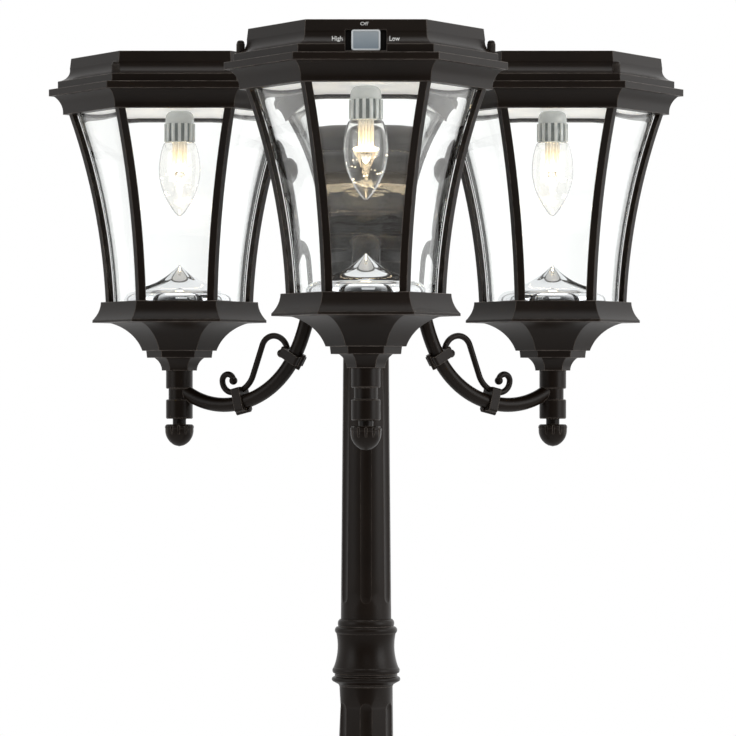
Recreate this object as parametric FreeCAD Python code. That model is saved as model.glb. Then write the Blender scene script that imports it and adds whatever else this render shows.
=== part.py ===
import FreeCAD
import Part
import math
import os

# Three-headed garden lamp post: three hexagonal lanterns on arms round one fluted post.
# Millimetres, +Z up. The origin is on the post axis, on the underside of the base plate.
# Widths of hexagonal pieces are given from the axis to a corner (names that end in _corner).

V = FreeCAD.Vector
UP = V(0, 0, 1)
COS30 = math.cos(math.radians(30))

# ---------------------------------------------------------------- driving dimensions
# Where the lanterns hang
arm_reach = 203.0          # post axis to lantern axis
arm_drop = 138.0           # level ends of the arms down to the middle of the stem necks
lantern_turns = {"front": 0, "right": 120, "left": 240}

# Fits
touch_gap = 0.3            # between curved neighbours that only lie close
running_gap = 0.05         # radial, pins and screws in their holes
socket_gap = 0.1           # radial, rods and spigots in fixed sockets
band_gap = 0.25            # radial, straight bands on the slightly bent arms

# Base
base_plate_r = 120.0
base_plate_h = 12.0
base_plate_edge = 4.0
anchor_circle_r = 98.0
anchor_hole_r = 6.5
anchor_count = 4
pedestal_foot_r = 82.0
pedestal_h = 210.0
pedestal_wall = 5.0
pedestal_step_h = 22.0
pedestal_grip_h = 40.0     # length of its bore round the post
pedestal_bead_r = 7.0
pedestal_bead_h = 14.0
pedestal_edge = 3.0

# Post
post_wall = 3.5
lower_post_h = 1614.6
lower_post_foot_r = 38.0
lower_post_top_r = 24.4
upper_post_h = 290.7
upper_post_foot_r = 23.1
upper_post_top_r = 20.6
flute_count = 6
flute_r = 12.0
flute_depth = 1.7
flute_margin = 9.0         # plain length of post beyond each flute end
collar_h = 61.3
collar_ring = 7.0          # how far each moulding stands out from the lower post
collar_bead = 6.5
collar_waist = 1.7
collar_top_bead = 4.2
collar_lip = 1.0
collar_spigot_h = 45.0
collar_spigot_wall = 4.0

# Hub on top of the post, with its finial
hub_stand = 53.6           # post top up to the level ends of the arms
hub_cap_lip = 3.4
hub_cap_h = 9.0
hub_plug_h = 24.0
hub_neck_r = 9.0
hub_flare_h = 8.0
hub_r = 38.0
hub_edge = 3.0
hub_h = 17.0
hub_socket_r = 13.0        # how near the axis the arms reach
finial_drum_r = 39.0
finial_drum_h = 55.5
finial_bead_h = 19.2
finial_brim_r = 61.8
finial_neck_r = 49.0
finial_neck_h = 12.0
finial_dome_h = 11.4
finial_wall = 3.0
finial_bore_r = 20.0

# Arms
arm_r = 6.7
arm_join_up = 7.3          # stem neck's middle up to where the arm's line meets the axis
arm_sag_out = 49.5         # lantern axis to where an arm hangs lowest
arm_end_r = 79.0           # bend between there and the stem
arm_sweep_r = 88.0         # bend of the low part towards the post
arm_sweep_turn = 62.0
arm_rise_r = 154.0         # gentler bend above it
arm_shoulder_r = 14.0

# Stem at the end of each arm
acorn_h = 20.8
acorn_r = 13.3
acorn_neck_h = 5.2
acorn_neck_r = 6.3
acorn_tip_r = 4.0
acorn_tip_h = 0.9
acorn_edge = 1.5
acorn_rib_count = 12
acorn_groove_r = 0.9
lower_collar_h = 18.2
stem_neck_h = 10.1
upper_collar_h = 17.1
collar_r = 12.6
collar_edge = 0.8
stem_neck_r = 10.2
spigot_r = 5.0
spigot_h = 24.0

# Scrolls between arm and stem, followed from the small curl to the hook
scroll_r = 2.8
scroll_ball_r = 3.9
scroll_gap = 0.35          # between the hook and the arm it leans on
scroll_curl_r = 6.0
scroll_belly_r = 11.0
scroll_belly_up = 11.6     # lowest point of the arm up to the foot of the belly
scroll_rise_r = 24.0
scroll_rise_turn = 70.0
scroll_straight = 30.0
scroll_crest_r = 13.0
scroll_fall_r = 15.0
scroll_fall_turn = 72.0
scroll_hook_r = 4.8
scroll_hook_turn = 125.0
scroll_hook_bends = 3      # bends from the crest on
scroll_fit_steps = 12
clamp_l = 9.0
clamp_wall = 1.9
clamp_low_at = 13.0        # degrees along the low bend
clamp_high_at = 60.0
clamp_high_over = 12.4     # arm's centre line to the end of the high band
clamp_pin_r = 2.1
clamp_pin_l = 15.0

# Lantern heights, from the stem upwards
bowl_foot_h = 12.0
bowl_band_h = 6.6
bowl_curve_h = 26.3
ring_lip_h = 2.2
ring_h = 19.4
window_h = 176.6
crown_h = 17.3
flange_h = 6.4
skirt_h = 7.4
cap_curve_h = 21.6

# Lantern widths, axis to corner, and the steps between them
bowl_foot_corner = 16.5
bowl_foot_cove = 7.0
bowl_band_step = 7.0
bowl_shoulder_step = 4.5
bowl_inset = 15.5
bowl_wall = 3.2
ring_flare = 8.0
ring_step = 4.5
post_foot_corner = 69.5
post_head_corner = 104.0
post_belly = 6.75          # how far the posts bow in from a straight line
crown_step = 5.75
crown_cove = 8.75
flange_lip = 4.5
skirt_inset = 8.5
cap_cove = 11.3
cap_lean = 1.2
cap_wall = 3.0

# Lantern frame and glass
frame_wall = 5.0
post_face = 6.5            # width of a corner post on each face
glass_t = 4.0
glass_rebate = 2.0         # how deep the panes stand below the ring top
glass_head = 1.5           # how far they reach behind the crown
ledge = 1.6                # ring ledge showing inside the panes
gusset_leg = 15.0
gusset_t = 1.5

# Mirror cone on the lantern floor
cone_plate_t = 1.5
cone_margin = 1.5
cone_shoulder = 6.0        # rounded edge of the cone, level
cone_shoulder_h = 11.0     # and upright
cone_waist_r = 12.7
cone_waist_h = 24.4
cone_h = 36.0
cone_tip_r = 1.2
cone_tip_h = 1.4

# Cap fittings
panel_rim = 7.0
panel_t = 4.0
panel_plate_t = 2.6
ceiling_gap = 3.2
ceiling_t = 1.5
ceiling_lift = 3.7         # above the crown's lower edge
pillar_r = 4.0
pillar_circle_r = 62.0
battery_x = 70.0
battery_y = 50.0
battery_h = 15.0
battery_corner_r = 6.0

# Switch, measured back from the skirt's face and down from the cap's top
rocker_w = 24.4
rocker_h = 17.8
rocker_drop = 9.2
rocker_sink = 1.2
rocker_slope = 5.5
rocker_plate_t = 4.0
rocker_axis_back = 2.5     # pin axis behind the rocker plate
rocker_corner_r = 2.2
rocker_hub_r = 3.6
rocker_pin_r = 1.5
rocker_pin_l = 1.2
pocket_side = 5.3
pocket_wall = 2.0

# Thumb screws
screw_inset = 6.0          # skirt corner to screw axis
screw_head_r = 3.7
screw_head_h = 11.5
screw_head_edge = 0.7
screw_notch_r = 0.8
screw_notch_count = 8
screw_shank_r = 2.0
screw_grip = 8.0
screw_boss_wall = 2.6

# Bulb and its holder
holder_wall = 1.7
holder_rib_r = 1.6
holder_rib_count = 14
holder_h = 29.7
holder_rib_h = 18.0
holder_dome = 4.5
plug_r = 11.0
plug_h = 12.0
bulb_neck_r = 13.4
bulb_belly_r = 18.2
bulb_belly_drop = 26.0
bulb_l = 70.3
bulb_tip_r = 2.4
bulb_wall = 0.9
stem_r = 3.0
stem_l = 21.0
emitter_r = 4.6

# ---------------------------------------------------------------- derived sizes
collar_foot_z = base_plate_h + lower_post_h
collar_top_z = collar_foot_z + collar_h
upper_post_top_z = collar_top_z + upper_post_h
hub_z = upper_post_top_z + hub_stand
stem_neck_mid_z = hub_z - arm_drop
stem_neck_z = stem_neck_mid_z - stem_neck_h / 2
lower_collar_z = stem_neck_z - lower_collar_h
acorn_tip_z = lower_collar_z - acorn_neck_h - acorn_h
upper_collar_z = stem_neck_z + stem_neck_h
bowl_z = upper_collar_z + upper_collar_h
band_z = bowl_z + bowl_foot_h
shoulder_z = band_z + bowl_band_h
ring_z = shoulder_z + bowl_curve_h
window_z = ring_z + ring_h
crown_z = window_z + window_h
flange_z = crown_z + crown_h
seat_z = flange_z + flange_h
skirt_top_z = seat_z + skirt_h
cap_top_z = skirt_top_z + cap_curve_h
glass_z = window_z - glass_rebate
ceiling_z = crown_z + ceiling_lift

arm_start_turn = math.asin(arm_sag_out / arm_end_r)
arm_start_z = stem_neck_mid_z + arm_join_up
arm_sag_r = arm_reach - arm_sag_out
arm_sag_z = arm_start_z - arm_end_r * (1 - math.cos(arm_start_turn))

bowl_neck_corner = bowl_foot_corner + bowl_foot_cove
bowl_band_corner = bowl_neck_corner + bowl_band_step
bowl_shoulder_corner = bowl_band_corner + bowl_shoulder_step
ring_top_corner = post_foot_corner + ring_step
ring_foot_corner = ring_top_corner + ring_flare
bowl_top_corner = ring_foot_corner - bowl_inset
post_mid_corner = (post_foot_corner + post_head_corner) / 2 - post_belly
crown_foot_corner = post_head_corner + crown_step
crown_cove_corner = crown_foot_corner + crown_cove
flange_corner = crown_cove_corner + flange_lip
skirt_corner = flange_corner - skirt_inset
cap_throat_corner = skirt_corner - cap_cove
cap_top_corner = cap_throat_corner - cap_lean
panel_corner = cap_top_corner - panel_rim
ceiling_corner = post_head_corner - frame_wall / COS30 - ceiling_gap
glass_far = frame_wall + touch_gap + glass_t
screw_out = skirt_corner - screw_inset

rocker_head_z = cap_top_z - rocker_drop
rocker_foot_z = rocker_head_z - rocker_h
rocker_foot_out = skirt_corner * COS30 - rocker_sink
rocker_head_out = rocker_foot_out - rocker_slope
rocker_back_out = rocker_head_out - rocker_plate_t
rocker_axis_out = rocker_back_out - rocker_axis_back
pocket_w = rocker_w + 2 * pocket_side
pocket_floor_out = rocker_axis_out - rocker_hub_r - touch_gap
holder_r = plug_r + holder_wall
holder_z = ceiling_z - holder_h


# ---------------------------------------------------------------- drawing helpers
def edges_along(points):
    """Edges in the XZ plane: a pair is a corner, a pair of pairs is an arc through both."""
    at = points[0]
    edges = []
    for step in points[1:]:
        if isinstance(step[0], tuple):
            through, end = step
            edges.append(Part.Arc(V(at[0], 0, at[1]), V(through[0], 0, through[1]),
                                  V(end[0], 0, end[1])).toShape())
        else:
            end = step
            edges.append(Part.makeLine(V(at[0], 0, at[1]), V(end[0], 0, end[1])))
        at = end
    return edges


def turned(*points):
    """A solid turned about Z from a closed outline of (radius, height)."""
    edges = edges_along(points + (points[0],))
    return Part.Face(Part.Wire(edges)).revolve(V(0, 0, 0), UP, 360)


def side_line(points):
    """The outline of a hexagon's side face from an outline of (corner radius, height)."""
    out = []
    for step in points:
        if isinstance(step[0], tuple):
            out.append(tuple((x * COS30, z) for x, z in step))
        else:
            out.append((step[0] * COS30, step[1]))
    return out


def hexed(points):
    """A hexagonal solid whose six sides follow an outline of (corner radius, height)."""
    side = side_line(points)
    right = edges_along(side)
    left = [edge.mirror(V(0, 0, 0), V(1, 0, 0)) for edge in right]
    foot, head = side[0], side[-1][-1] if isinstance(side[-1][0], tuple) else side[-1]
    ends = [Part.makeLine(V(x, 0, z), V(-x, 0, z)) for x, z in (foot, head)]
    face = Part.Face(Part.Wire(Part.__sortEdges__(right + left + ends)))
    reach = 2 * flange_corner
    face.translate(V(0, -reach, 0))
    slab = face.extrude(V(0, 2 * reach, 0))
    slab.rotate(V(0, 0, 0), UP, 90)
    solid = slab
    for turn in (60, 120):
        solid = solid.common(slab.rotated(V(0, 0, 0), UP, turn))
    return solid.removeSplitter()


def hex_plate(corner, foot_z, thick):
    """A flat hexagonal plate."""
    return hexed([(corner, foot_z), (corner, foot_z + thick)])


def round_bar(radius, foot_z, length, x=0.0, y=0.0):
    """An upright cylinder."""
    return Part.makeCylinder(radius, length, V(x, y, foot_z), UP)


def box(x0, x1, y0, y1, z0, z1):
    """A box from its lowest to its highest corner."""
    return Part.makeBox(x1 - x0, y1 - y0, z1 - z0, V(x0, y0, z0))


def spun(shape, count):
    """Copies of a shape spaced evenly about Z."""
    return [shape.rotated(V(0, 0, 0), UP, 360.0 / count * n) for n in range(count)]


def rod(edges, radius):
    """A round rod along an unbroken line of edges that starts at the first one's start."""
    wire = Part.Wire(edges)
    start = edges[0].valueAt(edges[0].FirstParameter)
    heading = edges[0].tangentAt(edges[0].FirstParameter)
    ring = Part.Wire(Part.makeCircle(radius, start, heading))
    return wire.makePipeShell([ring], True, False)


def travelled(start, heading, moves):
    """Edges in the XZ plane from a start: (length, None) runs on, (radius, turn) bends left."""
    x, z = start
    edges = []
    for size, turn in moves:
        along = (math.cos(heading), math.sin(heading))
        if turn is None:
            end = (x + size * along[0], z + size * along[1])
            edges.append(Part.makeLine(V(x, 0, z), V(end[0], 0, end[1])))
        else:
            side = 1 if turn > 0 else -1
            bend = math.radians(turn)
            cx, cz = x - side * size * along[1], z + side * size * along[0]
            spots = []
            for part in (0.5, 1.0):
                a = heading - side * math.pi / 2 + bend * part
                spots.append((cx + size * math.cos(a), cz + size * math.sin(a)))
            through, end = spots
            edges.append(Part.Arc(V(x, 0, z), V(through[0], 0, through[1]),
                                  V(end[0], 0, end[1])).toShape())
            heading += bend
        x, z = end
    return edges, (x, z), heading


def placed(shape, turn):
    """A lantern piece moved from its own axis to the end of its arm."""
    moved = shape.translated(V(0, -arm_reach, 0))
    return moved.rotated(V(0, 0, 0), UP, turn)


def write(name, shape):
    """One STEP file per piece."""
    shape.exportStep("parts/%s.step" % name)


# ---------------------------------------------------------------- base and post
def base_plate():
    """Round foot plate with the anchor holes and a low rim under the pedestal."""
    edge = base_plate_edge
    plate = turned((0, 0), (base_plate_r, 0), (base_plate_r, base_plate_h - edge),
                   (base_plate_r - edge, base_plate_h), (0, base_plate_h))
    hole = round_bar(anchor_hole_r, -1, base_plate_h + 2, anchor_circle_r)
    return plate.cut(Part.Compound(spun(hole, anchor_count)))


def base_pedestal():
    """Hollow flared casting between the foot plate and the post."""
    foot, head = base_plate_h, base_plate_h + pedestal_h
    step = foot + pedestal_step_h
    neck = head - pedestal_grip_h
    flare_h = neck - step
    edge = pedestal_edge
    bead = neck + 2 * edge
    bore = lower_post_foot_r + socket_gap
    waist = bore + pedestal_wall
    wide = pedestal_foot_r - 2 * pedestal_wall
    bow = (3 * waist + wide) / 4
    outer = [(pedestal_foot_r, foot), (pedestal_foot_r, step - 2 * edge),
             ((pedestal_foot_r - edge * 0.6, step - edge * 0.6), (pedestal_foot_r - 2 * edge, step)),
             (wide, step), ((bow, step + flare_h * 0.38), (waist, bead)),
             ((waist + pedestal_bead_r, bead + pedestal_bead_h / 2), (waist, bead + pedestal_bead_h)),
             (waist - edge / 3, head - edge), (waist - edge, head)]
    inner = [(bore, head), (bore, neck), (bow - pedestal_wall, step + flare_h * 0.34),
             (wide - pedestal_wall, step - pedestal_wall), (wide - pedestal_wall, foot)]
    return turned(*(outer + inner))


def flutes(foot_z, foot_r, head_z, head_r):
    """Round-ended grooves along a tapered post."""
    rise = flute_r - flute_depth
    low = V(foot_r + rise, 0, foot_z + flute_margin + flute_r)
    high = V(head_r + rise, 0, head_z - flute_margin - flute_r)
    bar = Part.makeCylinder(flute_r, (high - low).Length, low, high - low)
    bar = bar.fuse([Part.makeSphere(flute_r, low), Part.makeSphere(flute_r, high)])
    start = bar.rotated(V(0, 0, 0), UP, 30)
    return Part.Compound(spun(start, flute_count))


def post_tube(foot_z, foot_r, head_z, head_r):
    """A hollow tapered post."""
    return turned((foot_r - post_wall, foot_z), (foot_r, foot_z), (head_r, head_z),
                  (head_r - post_wall, head_z))


def lower_post():
    """The long lower tube, standing on the foot plate inside the pedestal."""
    tube = post_tube(base_plate_h, lower_post_foot_r, collar_foot_z, lower_post_top_r)
    slope = (lower_post_foot_r - lower_post_top_r) / lower_post_h
    seen_z = base_plate_h + pedestal_h
    seen_r = lower_post_foot_r - slope * pedestal_h
    return tube.cut(flutes(seen_z, seen_r, collar_foot_z, lower_post_top_r))


def upper_post():
    """The slimmer upper tube, standing on the collar."""
    tube = post_tube(collar_top_z, upper_post_foot_r, upper_post_top_z, upper_post_top_r)
    return tube.cut(flutes(collar_top_z, upper_post_foot_r, upper_post_top_z,
                           upper_post_top_r))


def post_collar():
    """Moulded joint between the two tubes, with a spigot into each."""
    def at(out, part):
        return lower_post_top_r + out, collar_foot_z + part * collar_h
    low_r = lower_post_top_r - post_wall - socket_gap
    taper = (upper_post_foot_r - upper_post_top_r) * collar_spigot_h / upper_post_h
    high_r = upper_post_foot_r - post_wall - taper - socket_gap
    bore = high_r - collar_spigot_wall
    foot, head = collar_foot_z, collar_top_z
    return turned(
        (bore, foot - collar_spigot_h), (low_r, foot - collar_spigot_h), (low_r, foot),
        at(0, 0), at(1, 0.03), at(collar_ring - 1.5, 0.07),
        (at(collar_ring, 0.10), at(collar_ring - 1.5, 0.14)),
        at(collar_bead - 2.2, 0.15), at(collar_bead - 2.2, 0.19), at(collar_bead - 0.8, 0.20),
        (at(collar_bead, 0.235), at(collar_bead - 1.2, 0.28)),
        (at(collar_waist, 0.54), at(collar_top_bead - 1.4, 0.79)),
        (at(collar_top_bead, 0.84), at(collar_top_bead - 1.6, 0.885)),
        at(collar_lip, 0.895), (at(collar_lip + 0.5, 0.935), at(collar_lip, 0.975)),
        at(collar_lip - 1.2, 1), (high_r, head), (high_r, head + collar_spigot_h),
        (bore, head + collar_spigot_h))


def arm_hub():
    """Cap over the post with a slim neck and a drum that takes the three arms."""
    z = upper_post_top_z
    foot = hub_z - hub_h / 2
    head = hub_z + hub_h / 2
    plug_r_top = upper_post_top_r - post_wall - socket_gap
    cap_r = upper_post_top_r + hub_cap_lip
    hub = turned(
        (0, z - hub_plug_h), (plug_r_top, z - hub_plug_h), (plug_r_top, z), (cap_r - 2, z),
        ((cap_r, z + 2), (cap_r - 2, z + 4)),
        ((hub_neck_r + 5, z + hub_cap_h - 2), (hub_neck_r, z + hub_cap_h + 6)),
        (hub_neck_r, foot - hub_flare_h), (hub_r - hub_edge, foot), (hub_r, foot + hub_edge),
        (hub_r, head - hub_edge), (hub_r - hub_edge, head), (0, head))
    level = Part.makeCylinder(arm_r + socket_gap, hub_r, V(0, -hub_socket_r, hub_z), V(0, -1, 0))
    return hub.cut(Part.Compound(spun(level, len(lantern_turns))))


def hub_finial():
    """Urn-shaped top piece over the hub, cast hollow and open underneath."""
    foot = hub_z + hub_h / 2
    bead = foot + finial_drum_h
    neck = bead + finial_bead_h
    dome = neck + finial_neck_h
    top = dome + finial_dome_h
    wall = finial_wall
    drum_head_r = finial_neck_r - wall
    crown_r = finial_neck_r / 2
    return turned(
        (finial_bore_r, foot), (hub_r - hub_edge, foot), (finial_drum_r, foot + 2 * wall),
        (drum_head_r, bead),
        ((finial_brim_r, (bead + neck) / 2), (finial_neck_r, neck)), (finial_neck_r, dome),
        ((finial_neck_r - wall, dome + finial_dome_h * 0.55), (crown_r, top - wall / 3)),
        (0, top), (0, top - 2 * wall), (crown_r, top - 3 * wall),
        (finial_neck_r - 2 * wall, dome - wall), (drum_head_r - wall, bead),
        (finial_drum_r - wall, foot + 3 * wall), (finial_bore_r, foot + 3 * wall))


# ---------------------------------------------------------------- arms, scrolls, stems
def arm_top():
    """Where the arm turns upright: (radius, height)."""
    low = math.radians(arm_sweep_turn)
    r = arm_sag_r - arm_sweep_r * math.sin(low) - arm_rise_r * (1 - math.sin(low))
    z = arm_sag_z + arm_sweep_r * (1 - math.cos(low)) + arm_rise_r * math.cos(low)
    return r, z


def arm_line():
    """The arm's centre line in its own plane, from the stem to the hub."""
    top_r, top_z = arm_top()
    moves = [(arm_end_r, -math.degrees(arm_start_turn)), (arm_sweep_r, -arm_sweep_turn),
             (arm_rise_r, arm_sweep_turn - 90.0), (hub_z - arm_shoulder_r - top_z, None),
             (arm_shoulder_r, 90.0), (top_r - arm_shoulder_r - hub_socket_r, None)]
    return travelled((arm_reach, arm_start_z), math.pi + arm_start_turn, moves)[0]


def arm_spot(turn):
    """Point and direction on the arm at an angle along its low bends."""
    a = math.radians(turn)
    low = math.radians(min(turn, arm_sweep_turn))
    r = arm_sag_r - arm_sweep_r * math.sin(low)
    z = arm_sag_z + arm_sweep_r * (1 - math.cos(low))
    if turn > arm_sweep_turn:
        r -= arm_rise_r * (math.sin(a) - math.sin(low))
        z += arm_rise_r * (math.cos(low) - math.cos(a))
    return (r, z), (-math.cos(a), math.sin(a))


def stem():
    """Collared stem with a spigot that the lantern screws on, about the lantern's axis."""
    z = lower_collar_z
    rim = collar_edge
    return turned(
        (0, z), (collar_r - rim, z), (collar_r, z + rim), (collar_r, stem_neck_z - rim),
        (collar_r - rim, stem_neck_z), (stem_neck_r, stem_neck_z),
        (stem_neck_r, upper_collar_z), (collar_r - rim, upper_collar_z),
        (collar_r, upper_collar_z + rim), (collar_r, bowl_z), (spigot_r, bowl_z),
        (spigot_r, bowl_z + spigot_h), (0, bowl_z + spigot_h))


def in_arm_plane(shape):
    """A shape drawn in the XZ plane turned to the front arm's plane."""
    return shape.rotated(V(0, 0, 0), UP, -90)


def arm():
    """Cast arm with its stem, for the front lantern."""
    bar = in_arm_plane(rod(arm_line(), arm_r))
    return bar.fuse(stem().translated(V(0, -arm_reach, 0))).removeSplitter()


def scroll_drawn(belly_r):
    """The scroll's centre line from the small curl to the hook, with both its ends."""
    start = (belly_r + scroll_belly_r - 2 * scroll_curl_r,
             arm_sag_z + scroll_belly_up + scroll_belly_r)
    moves = [(scroll_curl_r, -180.0), (scroll_belly_r, -90.0),
             (scroll_rise_r, -scroll_rise_turn), (scroll_straight, None),
             (scroll_crest_r, scroll_rise_turn), (scroll_fall_r, scroll_fall_turn),
             (scroll_hook_r, scroll_hook_turn)]
    edges, end, _ = travelled(start, math.pi / 2, moves)
    return edges, (start, end)


def scroll_line():
    """The scroll moved along, step by step, to where its hook leans on the arm."""
    arm_wire = Part.Wire(arm_line())
    clear = arm_r + scroll_r + scroll_gap
    belly_r = arm_sag_r
    for _ in range(scroll_fit_steps):
        edges, ends = scroll_drawn(belly_r)
        hook = Part.Wire(edges[-scroll_hook_bends:])
        belly_r += clear - arm_wire.distToShape(hook)[0]
    return edges, ends


def scroll_solid(more=0.0):
    """The scroll's bar and its two balls, in the XZ plane, thicker by a margin."""
    edges, ends = scroll_line()
    balls = [Part.makeSphere(scroll_ball_r + more, V(x, 0, z)) for x, z in ends]
    return rod(edges, scroll_r + more).fuse(balls)


def clamp(turn, over):
    """Pinned band that holds the scroll against the arm, reaching over it by a distance."""
    (r, z), (dr, dz) = arm_spot(turn)
    out = arm_r + clamp_wall
    block = Part.makeBox(clamp_l, 2 * out, out + over, V(-clamp_l / 2, -out, -out))
    block = block.makeFillet(clamp_wall, [e for e in block.Edges if abs(e.tangentAt(0).x) > 0.9])
    pin = Part.makeCylinder(clamp_pin_r, clamp_pin_l, V(-clamp_pin_l / 2, 0, -out), V(1, 0, 0))
    bore = Part.makeCylinder(arm_r + band_gap, 2 * clamp_pin_l, V(-clamp_pin_l, 0, 0),
                             V(1, 0, 0))
    block = block.fuse(pin).cut(bore)
    block.rotate(V(0, 0, 0), V(0, 1, 0), math.degrees(math.atan2(dz, -dr)))
    block.translate(V(r, 0, z))
    band = in_arm_plane(block.cut(scroll_solid(socket_gap)))
    return max(band.Solids, key=lambda piece: piece.Volume)


def low_clamp_over():
    """From the arm's centre line to the outside of the low band."""
    lift = arm_sweep_r * (1 - math.cos(math.radians(clamp_low_at)))
    return scroll_belly_up + scroll_r + clamp_wall - lift


def acorn():
    """Drop finial with shallow ribs running to its tip."""
    z = acorn_tip_z
    top = z + acorn_h
    body = turned((0, z), (acorn_tip_r, z + acorn_tip_h),
                  ((acorn_r * 0.82, z + acorn_h * 0.33), (acorn_r, z + acorn_h * 0.80)),
                  ((acorn_r - acorn_edge * 0.2, top - acorn_edge * 0.6),
                   (acorn_r - acorn_edge, top)), (0, top))
    groove = round_bar(acorn_groove_r, z, acorn_h, acorn_r + acorn_groove_r / 3)
    body = body.cut(Part.Compound(spun(groove, acorn_rib_count)))
    return body.fuse(round_bar(acorn_neck_r, top - 1, acorn_neck_h + 1))


# ---------------------------------------------------------------- lantern body
def post_curve(less=0.0):
    """The lantern's flaring side from the ring to the crown, less a margin at the corner."""
    return [(post_foot_corner - less, window_z),
            ((post_mid_corner - less, window_z + window_h / 2),
             (post_head_corner - less, crown_z))]


def window():
    """The opening of one face, as a block to cut with, facing -Y."""
    def half(corner):
        return corner / 2 - post_face
    foot, mid, head = post_foot_corner, post_mid_corner, post_head_corner
    right = edges_along([(half(foot), window_z),
                         ((half(mid), window_z + window_h / 2), (half(head), crown_z))])
    left = [edge.mirror(V(0, 0, 0), V(1, 0, 0)) for edge in right]
    ends = [Part.makeLine(V(half(c), 0, z), V(-half(c), 0, z))
            for c, z in ((foot, window_z), (head, crown_z))]
    face = Part.Face(Part.Wire(Part.__sortEdges__(right + left + ends)))
    return face.extrude(V(0, -2 * flange_corner, 0))


def lantern_frame():
    """Cast frame: base ring, six corner posts and the coved crown with its flange."""
    outer = [(ring_foot_corner, ring_z), (ring_foot_corner, ring_z + ring_lip_h),
             ((ring_top_corner + ring_flare * 0.22, ring_z + ring_h * 0.58),
              (ring_top_corner, window_z))]
    outer += post_curve()
    outer += [(crown_foot_corner, crown_z),
              ((crown_foot_corner + crown_cove * 0.27, crown_z + crown_h * 0.62),
               (crown_cove_corner, flange_z)),
              (flange_corner, flange_z), (flange_corner, seat_z)]
    wall = frame_wall / COS30
    deep = (glass_far + ledge) / COS30
    inner = [(post_foot_corner - deep, ring_z - 1), (post_foot_corner - deep, glass_z),
             (post_foot_corner - wall, glass_z)]
    inner += post_curve(wall)
    inner += [(post_head_corner - wall, seat_z + 1)]
    frame = hexed(outer).cut(hexed(inner))
    frame = frame.cut(Part.Compound(spun(window(), 6)))
    frame = frame.fuse(gussets()).removeSplitter()
    holes = [round_bar(screw_shank_r + running_gap, seat_z - screw_grip - 1,
                       screw_grip + 2, side * screw_out) for side in (1, -1)]
    return frame.cut(Part.Compound(holes))


def gussets():
    """Small corner plates over the panes that keep them down."""
    foot = crown_z + glass_head + touch_gap
    corner = post_head_corner - frame_wall / COS30 + 1
    edge = gusset_leg * COS30
    tri = Part.makePolygon([V(corner, 0, foot), V(corner - gusset_leg / 2, edge, foot),
                            V(corner - gusset_leg / 2, -edge, foot), V(corner, 0, foot)])
    plate = Part.Face(tri).extrude(V(0, 0, gusset_t))
    return spun(plate, 6)


def lantern_bowl():
    """Hollow ogee bowl under the frame, with its band and foot."""
    bow = (bowl_shoulder_corner + bowl_top_corner) / 2 - 1
    outer = [(bowl_foot_corner, bowl_z),
             ((bowl_foot_corner + bowl_foot_cove * 0.26, bowl_z + bowl_foot_h * 0.55),
              (bowl_neck_corner, band_z)),
             (bowl_band_corner, band_z), (bowl_band_corner + 0.8, shoulder_z),
             (bowl_shoulder_corner, shoulder_z),
             ((bow, shoulder_z + bowl_curve_h * 0.72), (bowl_top_corner, ring_z))]
    floor = shoulder_z + bowl_wall
    wall = bowl_wall / COS30
    inner = [(bowl_shoulder_corner - 2 * wall, floor),
             ((bow - 2 * wall, floor + (ring_z - floor) * 0.72),
              (bowl_top_corner - 3 * wall, ring_z)),
             (bowl_top_corner - 3 * wall, ring_z + 1)]
    bore = round_bar(spigot_r + socket_gap, bowl_z - 1, floor - bowl_z + 2)
    return hexed(outer).cut(hexed(inner)).cut(bore)


def glass_panes():
    """Six curved panes standing on the ring ledge behind the posts."""
    near = (frame_wall + touch_gap) / COS30
    foot, head = glass_z, crown_z + glass_head

    def sides(less):
        low, (mid, high) = post_curve(less)
        return [(low[0], foot), low, (mid, high), (high[0], head)]
    shell = hexed(sides(near)).cut(hexed(sides(glass_far / COS30)))
    reach = 2 * flange_corner
    spread = reach / 2 / COS30
    shift = 2 * touch_gap
    tri = Part.makePolygon([V(0, -shift, foot - 1), V(spread, -reach - shift, foot - 1),
                            V(-spread, -reach - shift, foot - 1), V(0, -shift, foot - 1)])
    wedge = Part.Face(tri).extrude(V(0, 0, head - foot + 2))
    pane = shell.common(wedge)
    return Part.Compound(spun(pane.Solids[0], 6))


def mirror_cone():
    """Bright floor plate drawn up into a flared cone under the bulb."""
    corner = post_foot_corner - (glass_far + touch_gap) / COS30
    plate = hex_plate(corner, glass_z, cone_plate_t)
    foot_r = corner * COS30 - cone_margin
    z = glass_z + cone_plate_t
    flare_r = foot_r - cone_shoulder
    cone = turned((0, z - cone_plate_t / 2), (foot_r, z - cone_plate_t / 2), (foot_r, z),
                  ((foot_r - cone_shoulder * 0.25, z + cone_shoulder_h * 0.7),
                   (flare_r, z + cone_shoulder_h)),
                  ((cone_waist_r, z + cone_waist_h), (cone_tip_r, z + cone_h - cone_tip_h)),
                  (0, z + cone_h))
    return plate.fuse(cone)


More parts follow.
